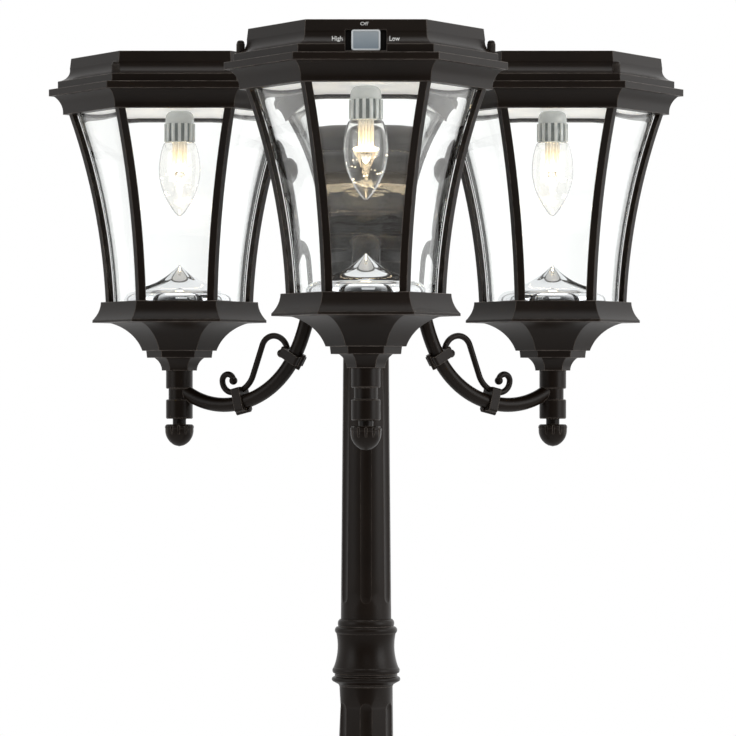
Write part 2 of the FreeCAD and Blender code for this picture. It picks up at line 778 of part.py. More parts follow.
# ---------------------------------------------------------------- lantern cap
def lantern_cap():
    """Lift-off cap: concave sides, skirt, panel recess, screw bosses and switch pocket."""
    outer = hexed([(skirt_corner, seat_z), (skirt_corner, skirt_top_z),
                   (skirt_corner - 1.7, skirt_top_z + 0.5),
                   ((cap_throat_corner + cap_cove * 0.2, skirt_top_z + cap_curve_h * 0.2),
                    (cap_throat_corner, skirt_top_z + cap_curve_h * 0.55)),
                   (cap_top_corner, cap_top_z)])
    under = cap_top_z - panel_t - panel_plate_t
    inner = hexed([(skirt_corner - cap_wall - 1, seat_z - 1),
                   (skirt_corner - cap_wall - 1, skirt_top_z - cap_wall),
                   (cap_throat_corner - cap_wall, skirt_top_z + cap_curve_h * 0.18),
                   (cap_top_corner - cap_wall, under)])
    side = pocket_w / 2
    low, high = rocker_foot_z - touch_gap, rocker_head_z + touch_gap
    house = box(-side - pocket_wall, side + pocket_wall, -skirt_corner,
                -pocket_floor_out + pocket_wall, seat_z, high + pocket_wall)
    bosses = [round_bar(screw_shank_r + screw_boss_wall, seat_z, skirt_h + cap_wall,
                        way * screw_out) for way in (1, -1)]
    cap = outer.cut(inner)
    cap = cap.fuse([shape.common(outer) for shape in bosses + [house]])
    pillar_foot = ceiling_z + ceiling_t
    pillar = round_bar(pillar_r, pillar_foot, under + 1 - pillar_foot, 0, pillar_circle_r)
    cap = cap.fuse(spun(pillar, 3)).removeSplitter()
    cap = cap.cut(box(-side, side, -2 * skirt_corner, -pocket_floor_out, low, high))
    cuts = [hex_plate(panel_corner, cap_top_z - panel_t, panel_t + 1),
            round_bar(rocker_pin_r + running_gap, low - rocker_pin_l,
                      high - low + 2 * rocker_pin_l, 0, -rocker_axis_out)]
    for way in (1, -1):
        cuts.append(round_bar(screw_head_r + touch_gap, skirt_top_z, cap_curve_h,
                              way * screw_out))
        cuts.append(round_bar(screw_shank_r + running_gap, seat_z - 1, skirt_h + 2,
                              way * screw_out))
    return cap.cut(Part.Compound(cuts))


def solar_panel():
    """Solar panel lying in the cap's recess."""
    return hex_plate(panel_corner - touch_gap, cap_top_z - panel_t, panel_t)


def ceiling_plate():
    """Pale reflecting plate under the cap, carried by its pillars."""
    return hex_plate(ceiling_corner, ceiling_z, ceiling_t)


def battery_pack():
    """Rechargeable pack lying on the ceiling plate."""
    z = ceiling_z + ceiling_t
    pack = box(-battery_x / 2, battery_x / 2, -battery_y / 2, battery_y / 2, z, z + battery_h)
    upright = [e for e in pack.Edges if abs(e.tangentAt(0).z) > 0.9]
    return pack.makeFillet(battery_corner_r, upright)


def switch_rocker():
    """Rocker with a sloping face, turning on two short upright pins."""
    low, high = rocker_foot_z, rocker_head_z
    face = Part.Face(Part.makePolygon([
        V(0, -rocker_foot_out, low), V(0, -rocker_head_out, high), V(0, -rocker_back_out, high),
        V(0, -rocker_back_out, low), V(0, -rocker_foot_out, low)]))
    plate = face.extrude(V(rocker_w, 0, 0)).translated(V(-rocker_w / 2, 0, 0))
    front = [e for e in plate.Edges
             if abs(e.tangentAt(0).y) > 0.9 or e.CenterOfMass.y < -rocker_head_out]
    corners = [e for e in front if abs(e.tangentAt(0).x) < 0.5 and e.BoundBox.ZLength < 1]
    plate = plate.makeFillet(rocker_corner_r, corners)
    hub = round_bar(rocker_hub_r, low, high - low, 0, -rocker_axis_out)
    pins = round_bar(rocker_pin_r, low - rocker_pin_l, high - low + 2 * rocker_pin_l,
                     0, -rocker_axis_out)
    return plate.fuse([hub, pins]).removeSplitter()


def thumb_screw(side):
    """Notched thumb screw through the cap's shoulder into the crown."""
    head = round_bar(screw_head_r, skirt_top_z, screw_head_h, screw_out)
    rim = [e for e in head.Edges if e.BoundBox.ZLength < 0.1 and e.CenterOfMass.z > skirt_top_z + 1]
    head = head.makeChamfer(screw_head_edge, rim)
    notch = round_bar(screw_notch_r, skirt_top_z - 1, screw_head_h + 2, screw_head_r + 0.2)
    notches = [n.translated(V(screw_out, 0, 0)) for n in spun(notch, screw_notch_count)]
    head = head.cut(Part.Compound(notches))
    shank = round_bar(screw_shank_r, seat_z - screw_grip, skirt_h + screw_grip + 1, screw_out)
    screw = head.fuse(shank)
    return screw if side == "right" else screw.rotated(V(0, 0, 0), UP, 180)


# ---------------------------------------------------------------- bulb
def bulb_holder():
    """Ribbed holder hanging from the ceiling plate."""
    top = holder_z + holder_h
    core = turned((0, holder_z), (holder_r, holder_z), (holder_r, top - holder_dome),
                  ((holder_r - holder_dome * 0.3, top - holder_dome * 0.3),
                   (holder_r - holder_dome, top)), (0, top))
    rib = round_bar(holder_rib_r, holder_z, holder_rib_h, holder_r - holder_rib_r / 2)
    holder = core.fuse(spun(rib, holder_rib_count))
    return holder.cut(round_bar(plug_r + running_gap, holder_z - 1, plug_h + 1 + touch_gap))


def bulb_glass():
    """Clear candle bulb hanging tip down."""
    z = holder_z

    def skin(less, top):
        belly = (bulb_belly_r - less, z - bulb_belly_drop)
        return turned(
            (0, z - bulb_l + less), (bulb_tip_r - less / 2, z - bulb_l + less + 0.6),
            ((bulb_belly_r * 0.60 - less, z - bulb_l * 0.79), belly),
            ((bulb_belly_r * 0.93 - less, z - bulb_belly_drop * 0.45), (bulb_neck_r - less, top)),
            (0, top))
    return skin(0, z).cut(skin(bulb_wall, z + 0.01))


def bulb_core():
    """Plug of the bulb with the light stem inside the glass."""
    plug = round_bar(plug_r, holder_z, plug_h)
    light = round_bar(stem_r, holder_z - stem_l, stem_l + 1)
    tip = Part.makeSphere(emitter_r, V(0, 0, holder_z - stem_l))
    return plug.fuse([light, tip])


# ---------------------------------------------------------------- everything, written out
os.makedirs("parts", exist_ok=True)

write("base_plate", base_plate())
write("base_pedestal", base_pedestal())
write("lower_post", lower_post())
write("post_collar", post_collar())
write("upper_post", upper_post())
write("arm_hub", arm_hub())
write("hub_finial", hub_finial())

front_arm = arm()
front_scroll = in_arm_plane(scroll_solid())
front_clamps = [clamp(clamp_low_at, low_clamp_over()), clamp(clamp_high_at, clamp_high_over)]
clamps = []
for name, turn in lantern_turns.items():
    write("arm_" + name, front_arm.rotated(V(0, 0, 0), UP, turn))
    write("scroll_" + name, front_scroll.rotated(V(0, 0, 0), UP, turn))
    clamps += [piece.rotated(V(0, 0, 0), UP, turn) for piece in front_clamps]
write("scroll_clamps", Part.Compound(clamps))

lantern = {
    "acorn": acorn(),
    "lantern_frame": lantern_frame(),
    "lantern_bowl": lantern_bowl(),
    "lantern_glass": glass_panes(),
    "mirror_cone": mirror_cone(),
    "lantern_cap": lantern_cap(),
    "solar_panel": solar_panel(),
    "ceiling_plate": ceiling_plate(),
    "battery_pack": battery_pack(),
    "switch_rocker": switch_rocker(),
    "thumb_screw_a": thumb_screw("right"),
    "thumb_screw_b": thumb_screw("left"),
    "bulb_holder": bulb_holder(),
    "bulb_glass": bulb_glass(),
    "bulb_core": bulb_core(),
}
for name, turn in lantern_turns.items():
    for piece, shape in lantern.items():
        write("%s_%s" % (piece, name), placed(shape, turn))
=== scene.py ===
import math

import bpy
import bmesh
from mathutils import Matrix, Vector


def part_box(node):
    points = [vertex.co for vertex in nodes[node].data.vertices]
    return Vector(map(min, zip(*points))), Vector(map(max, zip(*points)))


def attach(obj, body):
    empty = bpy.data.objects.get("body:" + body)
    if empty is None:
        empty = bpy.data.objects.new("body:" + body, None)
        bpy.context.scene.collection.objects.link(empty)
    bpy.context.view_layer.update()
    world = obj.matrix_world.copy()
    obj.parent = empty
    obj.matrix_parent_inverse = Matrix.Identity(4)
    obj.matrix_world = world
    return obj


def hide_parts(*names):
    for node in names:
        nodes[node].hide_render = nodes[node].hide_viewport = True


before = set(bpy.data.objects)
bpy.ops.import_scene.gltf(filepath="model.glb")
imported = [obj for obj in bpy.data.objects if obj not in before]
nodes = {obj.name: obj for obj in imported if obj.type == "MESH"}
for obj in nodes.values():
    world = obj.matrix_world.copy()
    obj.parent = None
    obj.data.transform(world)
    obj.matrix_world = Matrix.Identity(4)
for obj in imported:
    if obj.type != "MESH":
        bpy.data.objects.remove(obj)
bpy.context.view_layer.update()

scene = bpy.context.scene

# ------------------------------------------------------------------ view of the lanterns
# The post is seen level with the stems, from far off with a long lens, so that only the lanterns
# and the top of the post are in the frame. The front lantern hangs nearest to the camera.
picture_px, lens_px, shift_px = 736, 4008, 32
view_data = bpy.data.cameras.new("front_view")
view_data.sensor_width = 36.0
view_data.lens = view_data.sensor_width * lens_px / picture_px
view_data.shift_y = shift_px / picture_px
view_data.clip_end = 50.0
view = bpy.data.objects.new("front_view", view_data)
scene.collection.objects.link(view)
view.location = (0.0018, -3.673, 1.8886)
view.rotation_euler = (math.radians(90), 0, 0)
scene.camera = view

# ------------------------------------------------------------------ floor, backdrop and light
# A plain pale floor under the post. The lamps are large soft panels at both sides, over the top
# and behind the camera, and the surroundings are white where the camera looks past the lanterns.
scene.view_settings.view_transform = "Standard"


class Socket:
    """One output in a finish; sums written on it add the nodes that work them out."""

    def __init__(self, finish, output):
        self.finish = finish
        self.output = output

    def maths(self, operation, *values):
        """A sum of one or more values."""
        return self.finish.node("ShaderNodeMath", dict(enumerate(values)), operation=operation)

    def __add__(self, other):
        return self.maths("ADD", self, other)

    def __rsub__(self, other):
        return self.maths("SUBTRACT", other, self)

    def __mul__(self, other):
        return self.maths("MULTIPLY", self, other)

    __radd__ = __add__


class Finish:
    """A material, made from plain values and from sockets of its own nodes."""

    def __init__(self, name, tree=None):
        if tree is None:
            self.material = bpy.data.materials.new(name)
            self.material.use_nodes = True
            tree = self.material.node_tree
        self.tree = tree
        tree.nodes.clear()

    def node(self, kind, sockets=None, output=0, **settings):
        """A node with its settings, its sockets filled, and one of its outputs handed on."""
        made = self.tree.nodes.new(kind)
        for key, value in settings.items():
            setattr(made, key, value)
        for key, value in (sockets or {}).items():
            if isinstance(value, Socket):
                self.tree.links.new(value.output, made.inputs[key])
            else:
                made.inputs[key].default_value = value
        return Socket(self, made.outputs[output])

    def axis(self, place, letter):
        """One of the three numbers of a place or a direction."""
        return self.node("ShaderNodeSeparateXYZ", {0: place}, output=letter)

    def place(self):
        """Where a point lies on its piece, in metres."""
        return self.node("ShaderNodeTexCoord", output="Object")

    def grain(self, scale, detail=2.0, rough=0.5):
        """An uneven value about 0.5, with spots that are 1 / scale metres across."""
        return self.node("ShaderNodeTexNoise", {
            "Vector": self.place(), "Scale": scale, "Detail": detail, "Roughness": rough})

    def clamp(self, value, low, high):
        """How far a value lies between two others, from 0 to 1."""
        return self.node("ShaderNodeMapRange", {"Value": value, "From Min": low,
                                                "From Max": high})

    def mix(self, share, first, second):
        """One colour over another by a share from 0 to 1."""
        return self.node("ShaderNodeMix", {0: share, 6: first, 7: second}, output=2,
                         data_type="RGBA")

    def show(self, shader):
        """The material shows this shader."""
        out = self.tree.nodes.new("ShaderNodeOutputMaterial")
        self.tree.links.new(shader.output, out.inputs["Surface"])
        return self.material

    def surface(self, sockets):
        """The material shows one principled shader with these values."""
        return self.show(self.node("ShaderNodeBsdfPrincipled", sockets))


def deselect():
    """Nothing in the scene stays selected."""
    bpy.ops.object.select_all(action="DESELECT")
    bpy.context.view_layer.objects.active = None


deselect()
bpy.ops.mesh.primitive_circle_add(vertices=96, radius=9.0, fill_type="NGON", location=(0, 0, 0))
floor = bpy.context.object
floor.name = "floor"
floor_finish = Finish("pale_floor")
floor_share = floor_finish.node("ShaderNodeTexNoise", {"Scale": 6.0, "Detail": 3.0})
floor_tone = floor_finish.mix(floor_share, (0.86, 0.86, 0.86, 1), (0.88, 0.88, 0.88, 1))
floor.data.materials.append(floor_finish.surface({
    "Base Color": floor_tone, "Roughness": 0.8, "Emission Color": (1, 1, 1, 1),
    "Emission Strength": 0.22}))

# The surroundings are white for the camera, and for rays that go on through glass away from it.
# For other rays they are dark behind the camera and pale further round, most so on the right.
least_light, far_light, far_gloss = 0.05, 0.50, 0.70
world = bpy.data.worlds.new("studio")
scene.world = world
world.use_nodes = True
sky = Finish("studio", world.node_tree)
path = {name: sky.node("ShaderNodeLightPath", output=name)
        for name in ("Is Camera Ray", "Is Glossy Ray", "Is Transmission Ray")}
way = sky.node("ShaderNodeTexCoord", output="Generated")
way_x, way_y = sky.axis(way, "X"), sky.axis(way, "Y")
onward = path["Is Transmission Ray"] * sky.clamp(way_y, -0.90, -0.60)
seen = onward.maths("MAXIMUM", onward, path["Is Camera Ray"])
far_side = sky.clamp(way_y, -0.95, -0.10)
far_side = far_side * (0.55 + sky.clamp(way_x, -0.9, 0.3) * 0.45)
lit = least_light + far_side * far_light + far_side * path["Is Glossy Ray"] * far_gloss
light = sky.node("ShaderNodeBackground", {
    "Color": (1, 1, 1, 1), "Strength": seen.maths("MAXIMUM", seen, lit)})
sky_out = world.node_tree.nodes.new("ShaderNodeOutputWorld")
world.node_tree.links.new(light.output, sky_out.inputs["Surface"])

panel_aim = Vector((0, 0, 2.0))
for name, place, wide, power in (
        ("left_panel", (-2.6, -1.4, 2.5), 1.6, 14),
        ("right_panel", (2.6, -1.4, 2.5), 1.6, 26),
        ("top_panel", (0, -0.6, 4.4), 2.0, 24),
        ("front_panel", (0.3, -4.4, 3.4), 1.8, 7)):
    panel_data = bpy.data.lights.new(name, "AREA")
    panel_data.shape = "RECTANGLE"
    panel_data.size = wide
    panel_data.size_y = wide
    panel_data.energy = power
    panel = bpy.data.objects.new(name, panel_data)
    scene.collection.objects.link(panel)
    panel.location = place
    panel.rotation_euler = (panel_aim - Vector(place)).to_track_quat("-Z", "Y").to_euler()

# ------------------------------------------------------------------ cast and turned metal
# The post, arms, scrolls and lantern bodies are die-cast and extruded aluminium with a satin
# dark bronze powder coat. The coat is slightly pebbled, and paler and warmer along the edges,
# partly where it is worn thin and partly as a painted highlight.


def bronze(name, edge_wear_and_highlight, shine):
    """The powder coat, with paler edges that are partly wear and partly painted highlight, and its
    roughness.
    """
    coat = Finish(name)
    pebble = coat.grain(700.0)
    cloud = coat.grain(14.0, 4.0, 0.6)
    drift = coat.grain(90.0, 3.0, 0.6)
    rounded = coat.node("ShaderNodeBevel", {"Radius": 0.0011}, samples=6)
    flat = coat.node("ShaderNodeNewGeometry", output="Normal")
    along = coat.node("ShaderNodeVectorMath", {0: rounded, 1: flat}, output="Value",
                      operation="DOT_PRODUCT")
    edge = coat.clamp(1 - along, 0.01, 0.16)
    # Paler, warmer edges: partly the coat worn thin, partly a painted highlight.
    worn_and_highlit = edge * coat.clamp(drift, 0.20, 0.60)
    body = coat.mix(coat.clamp(cloud, 0.3, 0.7), (0.0082, 0.0049, 0.0030, 1),
                    (0.0132, 0.0081, 0.0050, 1))
    tone = coat.mix(worn_and_highlit * edge_wear_and_highlight, body, (0.25, 0.21, 0.18, 1))
    bump = coat.node("ShaderNodeBump", {"Height": pebble, "Strength": 0.10,
                                        "Distance": 0.0004, "Normal": rounded})
    return coat.surface({
        "Base Color": tone, "Roughness": shine + cloud * 0.10 + pebble * 0.06,
        "Normal": bump, "Specular IOR Level": 0.17})


post_bronze = bronze("post_bronze", 0.8, 0.30)
cast_bronze = bronze("cast_bronze", 1.0, 0.27)


def dress(node, finish):
    """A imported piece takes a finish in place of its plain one."""
    mesh = nodes[node].data
    mesh.materials.clear()
    mesh.materials.append(finish)


sides = ("front", "right", "left")
turns = {"front": 0.0, "right": math.radians(120), "left": math.radians(240)}
for piece in ("base_plate", "base_pedestal", "lower_post", "upper_post"):
    dress(piece, post_bronze)
for piece in ("post_collar", "arm_hub", "hub_finial", "scroll_clamps"):
    dress(piece, cast_bronze)
for side in sides:
    for piece in ("arm", "scroll", "acorn", "lantern_frame", "lantern_bowl", "lantern_cap"):
        dress("%s_%s" % (piece, side), cast_bronze)

# ------------------------------------------------------------------ glass panes
# Six clear panes to a lantern, bent to the flare of the posts and slipped in behind them. Each is
# 4 mm sheet with a broad ground bevel along both long edges, which shows as a grey band.


def clear(name, tint, shine, ior):
    """Clear glass that lets the lamps' light through."""
    glass = Finish(name)
    body = glass.node("ShaderNodeBsdfPrincipled", {
        "Base Color": tint, "Roughness": shine + glass.grain(26.0, 3.0) * 0.02, "IOR": ior,
        "Transmission Weight": 1.0})
    through = glass.node("ShaderNodeBsdfTransparent", {"Color": (0.96, 0.97, 0.97, 1)})
    lamps = glass.node("ShaderNodeLightPath", output="Is Shadow Ray")
    return glass.show(glass.node("ShaderNodeMixShader", {0: lamps, 1: body, 2: through}))


pane_glass = clear("pane_glass", (0.985, 0.995, 0.99, 1), 0.0, 1.45)


def work_on(name):
    """The primitive just added gets its name and opens for editing, all of it selected."""
    made = bpy.context.object
    made.name = name
    made.data.name = name
    bpy.ops.object.mode_set(mode="EDIT")
    bpy.ops.mesh.select_mode(type="VERT")
    bpy.ops.mesh.select_all(action="SELECT")
    return made


def pick(made, keep, kind="FACE"):
    """In edit mode, selects only the faces, edges or points whose middle passes a test."""
    bpy.ops.mesh.select_mode(type=kind)
    bpy.ops.mesh.select_all(action="DESELECT")
    mesh = bmesh.from_edit_mesh(made.data)
    if kind == "FACE":
        spots = [(face, face.calc_center_median()) for face in mesh.faces]
    elif kind == "EDGE":
        spots = [(edge, (edge.verts[0].co + edge.verts[1].co) / 2) for edge in mesh.edges]
    else:
        spots = [(point, point.co) for point in mesh.verts]
    for item, middle in spots:
        if keep(middle):
            item.select_set(True)
    mesh.select_flush_mode()
    bmesh.update_edit_mesh(made.data)


def settle_normals():
    """In edit mode, all faces of the piece look outwards."""
    bpy.ops.mesh.select_all(action="SELECT")
    bpy.ops.mesh.normals_make_consistent(inside=False)


def take_up(made):
    """In object mode, only this piece is selected, and it is the active one."""
    if bpy.context.mode != "OBJECT":
        bpy.ops.object.mode_set(mode="OBJECT")
    deselect()
    made.select_set(True)
    bpy.context.view_layer.objects.active = made


def finish_with(made, kind, **settings):
    """A modifier is added to a piece and applied."""
    take_up(made)
    step = made.modifiers.new(kind.lower(), kind)
    for key, value in settings.items():
        setattr(step, key, value)
    bpy.ops.object.modifier_apply(modifier=step.name)


def soften(made, width, segments, angle):
    """Edges sharper than an angle are bevelled."""
    finish_with(made, "BEVEL", width=width, segments=segments, limit_method="ANGLE",
                angle_limit=math.radians(angle))


def smooth(made, angle):
    """Soft shading, except across edges sharper than an angle."""
    take_up(made)
    bpy.ops.object.shade_smooth_by_angle(angle=math.radians(angle))
    deselect()


def twin_of(made):
    """A second piece of the same form, with a mesh of its own."""
    twin = made.copy()
    twin.data = made.data.copy()
    scene.collection.objects.link(twin)
    return twin


def join(pieces):
    """All the pieces become part of the first one."""
    take_up(pieces[0])
    for made in pieces:
        made.select_set(True)
    bpy.ops.object.join()


arm_reach = 0.203          # from the post's axis out to a lantern's axis


def copies(made, name, finish, body, replaced=()):
    """A piece of the front lantern, with its copies at the other two lanterns."""
    placed = {side: made if side == "front" else twin_of(made) for side in sides}
    for side, twin in placed.items():
        twin.name = "%s_%s" % (name, side)
        twin.data.name = twin.name
        spin = Matrix.Rotation(turns[side], 4, "Z")
        twin.data.transform(spin @ Matrix.Translation((0, -arm_reach, 0)))
        twin.data.materials.clear()
        twin.data.materials.append(finish)
        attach(twin, body if body == "post" else "%s_%s" % (body, side))
        if replaced:
            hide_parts(*["%s_%s" % (node, side) for node in replaced])
    return placed


pane_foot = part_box("lantern_glass_front")[0][2]
pane_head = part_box("lantern_glass_front")[1][2]
window_lap, window_h = 0.002, 0.1766
window_foot = pane_foot + window_lap
window_head = window_foot + window_h
foot_corner, middle_corner, head_corner = 0.0695, 0.0800, 0.1040
pane_behind = 0.0053       # from the outside of the frame's posts in to the pane


def arc_through(first, middle, last):
    """Centre and radius of the circle through three points in a plane."""
    (ax, ay), (bx, by), (cx, cy) = first, middle, last
    d = 2 * (ax * (by - cy) + bx * (cy - ay) + cx * (ay - by))
    a2, b2, c2 = ax * ax + ay * ay, bx * bx + by * by, cx * cx + cy * cy
    ux = (a2 * (by - cy) + b2 * (cy - ay) + c2 * (ay - by)) / d
    uy = (a2 * (cx - bx) + b2 * (ax - cx) + c2 * (bx - ax)) / d
    return (ux, uy), math.hypot(ax - ux, ay - uy)


cos30, tan30 = math.cos(math.radians(30)), math.tan(math.radians(30))
flare_centre, flare_r = arc_through((foot_corner * cos30, window_foot),
                                    (middle_corner * cos30, (window_foot + window_head) / 2),
                                    (head_corner * cos30, window_head))


def pane_out(z):
    """How far the outside of a pane stands from the lantern's axis at a height."""
    z = min(max(z, window_foot), window_head)
    return flare_centre[0] - math.sqrt(flare_r ** 2 - (z - flare_centre[1]) ** 2) - pane_behind


pane_t = 0.004
mitre_gap = 0.0008         # between a pane's edge and the line to the lantern's corner
inner_step = 0.0024        # how far the long edges of the inner face stand back
bevel_w = 0.0135
bevel_t = 0.0021
pane_steps = 28
near = 0.001
deselect()
bpy.ops.mesh.primitive_plane_add(size=1.0, location=(0, 0, 0))
pane = work_on("pane")
foot_out = pane_out(pane_foot)
half = (foot_out - mitre_gap) * tan30
bpy.ops.transform.resize(value=(2 * half, pane_t, 1))
bpy.ops.transform.translate(value=(0, -foot_out + pane_t / 2, pane_foot))
for way in (1, -1):
    bpy.ops.mesh.select_all(action="SELECT")
    bpy.ops.mesh.bisect(plane_co=(way * (half - bevel_w), 0, 0), plane_no=(1, 0, 0))
pick(pane, lambda at: abs(at.x) > half - near and at.y < near - foot_out, "VERT")
bpy.ops.transform.translate(value=(0, bevel_t, 0))
pick(pane, lambda at: abs(at.x) > half - near and at.y > pane_t - near - foot_out, "VERT")
bpy.ops.transform.resize(value=((half - inner_step) / half, 1, 1), orient_type="GLOBAL",
                         center_override=(0, 0, pane_foot))
bpy.ops.mesh.select_all(action="SELECT")
rise = (pane_head - pane_foot) / pane_steps
for step in range(pane_steps):
    z0 = pane_foot + step * rise
    out0, out1 = pane_out(z0), pane_out(z0 + rise)
    bpy.ops.mesh.extrude_region_move(TRANSFORM_OT_translate={
        "value": (0, out0 - out1, rise), "orient_type": "GLOBAL"})
    wider = (out1 - out0) * tan30
    for way in (1, -1):
        pick(pane, lambda at: at.z > z0 + rise / 2 and at.x * way > 0, "VERT")
        bpy.ops.transform.translate(value=(way * wider, 0, 0))
    pick(pane, lambda at: at.z > z0 + rise / 2, "VERT")
settle_normals()
bpy.ops.object.mode_set(mode="OBJECT")
pane_set = [pane]
for turn in range(1, 6):
    pane_set.append(twin_of(pane))
    pane_set[-1].data.transform(Matrix.Rotation(math.radians(60 * turn), 4, "Z"))
join(pane_set)
smooth(pane, 12)
copies(pane, "pane_set", pane_glass, "post", ["lantern_glass"])

# ------------------------------------------------------------------ mirror cone
# A disc of bright anodised sheet, spun up into a flared cone under the bulb. It throws the
# bulb's light out sideways, and mirrors the posts as dark curved stripes.
mirror = Finish("mirror_plate")
mirror_plate = mirror.surface({
    "Base Color": (0.80, 0.81, 0.83, 1), "Metallic": 1.0,
    "Roughness": 0.005 + mirror.grain(60.0, 3.0) * 0.02})
for side in sides:
    dress("mirror_cone_" + side, mirror_plate)

# ------------------------------------------------------------------ cap linings
# Under each cap hangs a pale lacquered sheet that sends light down; its glow is painted light, as
# the sheet is no lamp.
# The rechargeable pack in its green shrink wrap lies on it, and the dark solar panel fills the
# recess on top.
lining = Finish("ceiling_sheet")
lining_grain = lining.grain(120.0, 4.0)
# The emission here is painted light: a glow on a part that is no lamp.
ceiling_sheet = lining.surface({
    "Base Color": lining.mix(lining_grain, (0.82, 0.82, 0.81, 1), (0.88, 0.88, 0.87, 1)),
    "Roughness": 0.30 + lining_grain * 0.1, "Emission Color": (1.0, 0.98, 0.95, 1),
    "Emission Strength": 0.32})

wrap = Finish("battery_wrap")
wrap_crease = wrap.grain(160.0, 3.0)
battery_wrap = wrap.surface({
    "Base Color": wrap.mix(wrap_crease, (0.05, 0.16, 0.09, 1), (0.07, 0.20, 0.11, 1)),
    "Roughness": 0.3 + wrap_crease * 0.15,
    "Normal": wrap.node("ShaderNodeBump", {"Height": wrap_crease, "Strength": 0.3,
                                           "Distance": 0.0005})})

# Thin pale lines part the cells, and finer ones run across each cell.
cell_w, cell_line = 0.026, 0.0012
finger_w, finger_line = 0.0026, 0.0003


def stripes(value, pitch, line):
    """1 on thin lines a pitch apart, otherwise 0."""
    phase = value.maths("PINGPONG", value, pitch / 2)
    return value.maths("LESS_THAN", phase, line / 2)


cells = Finish("solar_cell")
cells_place = cells.place()
cells_x, cells_y = cells.axis(cells_place, "X"), cells.axis(cells_place, "Y")
cells_lines = cells_x.maths("MAXIMUM", stripes(cells_x, cell_w, cell_line),
                            stripes(cells_y, cell_w, cell_line))
cells_fingers = stripes(cells_y, finger_w, finger_line) * 0.5
cells_tint = cells.grain(40.0)
cells_body = cells.mix(cells_tint, (0.010, 0.014, 0.034, 1), (0.016, 0.024, 0.055, 1))
cells_body = cells.mix(cells_fingers, cells_body, (0.20, 0.22, 0.26, 1))
solar_cell = cells.surface({
    "Base Color": cells.mix(cells_lines, cells_body, (0.32, 0.34, 0.38, 1)),
    "Roughness": 0.28 + cells_tint * 0.08, "Specular IOR Level": 0.2})
for side in sides:
    dress("ceiling_plate_" + side, ceiling_sheet)
    dress("battery_pack_" + side, battery_wrap)
    dress("solar_panel_" + side, solar_cell)

# ------------------------------------------------------------------ bulb holder
# Moulded in milky plastic, with upright ribs all round and painted shade in the grooves between
# them. It is screwed to the ceiling sheet, and the bulb's plug turns into its open end.
milky = Finish("holder_plastic")
milky_flow = milky.grain(70.0, 3.0)
holder_plastic = milky.surface({
    "Base Color": milky.mix(milky_flow, (0.58, 0.60, 0.58, 1), (0.70, 0.72, 0.70, 1)),
    "Roughness": 0.18 + milky_flow * 0.1, "IOR": 1.49, "Coat Weight": 0.6})
# A darker finish for the recesses: painted shade in the grooves between the ribs.
shade = Finish("holder_groove_painted_shade")
shade_flow = shade.grain(70.0, 3.0)
holder_groove_painted_shade = shade.surface({
    "Base Color": shade.mix(shade_flow, (0.13, 0.15, 0.14, 1), (0.20, 0.225, 0.215, 1)),
    "Roughness": 0.15 + shade_flow * 0.1, "Coat Weight": 0.6})


def lathe(name, profile, count, closed_end=False):
    """A turned piece about Z: a ring drawn out along a list of (radius, height)."""
    deselect()
    r, z = profile[0]
    bpy.ops.mesh.primitive_circle_add(vertices=count, radius=r, location=(0, 0, 0))
    turned = work_on(name)
    bpy.ops.transform.translate(value=(0, 0, z))
    for r1, z1 in profile[1:]:
        bpy.ops.mesh.extrude_region_move(TRANSFORM_OT_translate={"value": (0, 0, z1 - z)})
        bpy.ops.transform.resize(value=(r1 / r, r1 / r, 1), center_override=(0, 0, z1))
        r, z = r1, z1
    if closed_end:
        bpy.ops.mesh.merge(type="CENTER")
    settle_normals()
    return turned


def ribbed(made, count, inner_r, low, high, rise):
    """Every second face of a turned piece, outside a radius and between two heights, is raised."""
    turn = 2 * math.pi / count
    pick(made, lambda at: math.hypot(at.x, at.y) > inner_r and low < at.z < high
         and (math.atan2(at.y, at.x) / turn) % 1 < 0.5)
    bpy.ops.mesh.extrude_region_move()
    bpy.ops.transform.shrink_fatten(value=rise)


holder_foot, holder_head = (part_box("bulb_holder_front")[way][2] for way in (0, 1))
holder_ribs = 14
bore_r, groove_r, neck_r = 0.0112, 0.0118, 0.0124
rib_foot, rib_head = holder_foot + 0.0010, holder_foot + 0.0180
holder = lathe("bulb_holder", [
    (bore_r, holder_foot + 0.0115), (bore_r, holder_foot), (0.0126, holder_foot),
    (groove_r, rib_foot), (groove_r, rib_head), (neck_r, rib_head + 0.0008),
    (neck_r, holder_foot + 0.0235), (0.0117, holder_head - 0.0032),
    (0.0100, holder_head - 0.0010), (0.0080, holder_head), (0.0010, holder_head)],
    holder_ribs * 4)
ribbed(holder, holder_ribs, bore_r + 0.0002, rib_foot, rib_head, 0.0017)
soften(holder, 0.0003, 2, 40)
smooth(holder, 40)
holders = copies(holder, "ribbed_holder", holder_plastic, "cap",
                 ["bulb_holder"])
for side, made in holders.items():
    made.data.materials.append(holder_groove_painted_shade)
    axis = Matrix.Rotation(turns[side], 3, "Z") @ Vector((0, -arm_reach, 0))
    # Faces nearer the axis than the neck, within the ribbed band, are the grooves and the bore:
    # they take the painted shade.
    for face in made.data.polygons:
        from_axis = math.hypot(face.center.x - axis.x, face.center.y - axis.y)
        if rib_foot < face.center.z < rib_head and from_axis < neck_r:
            face.material_index = 1

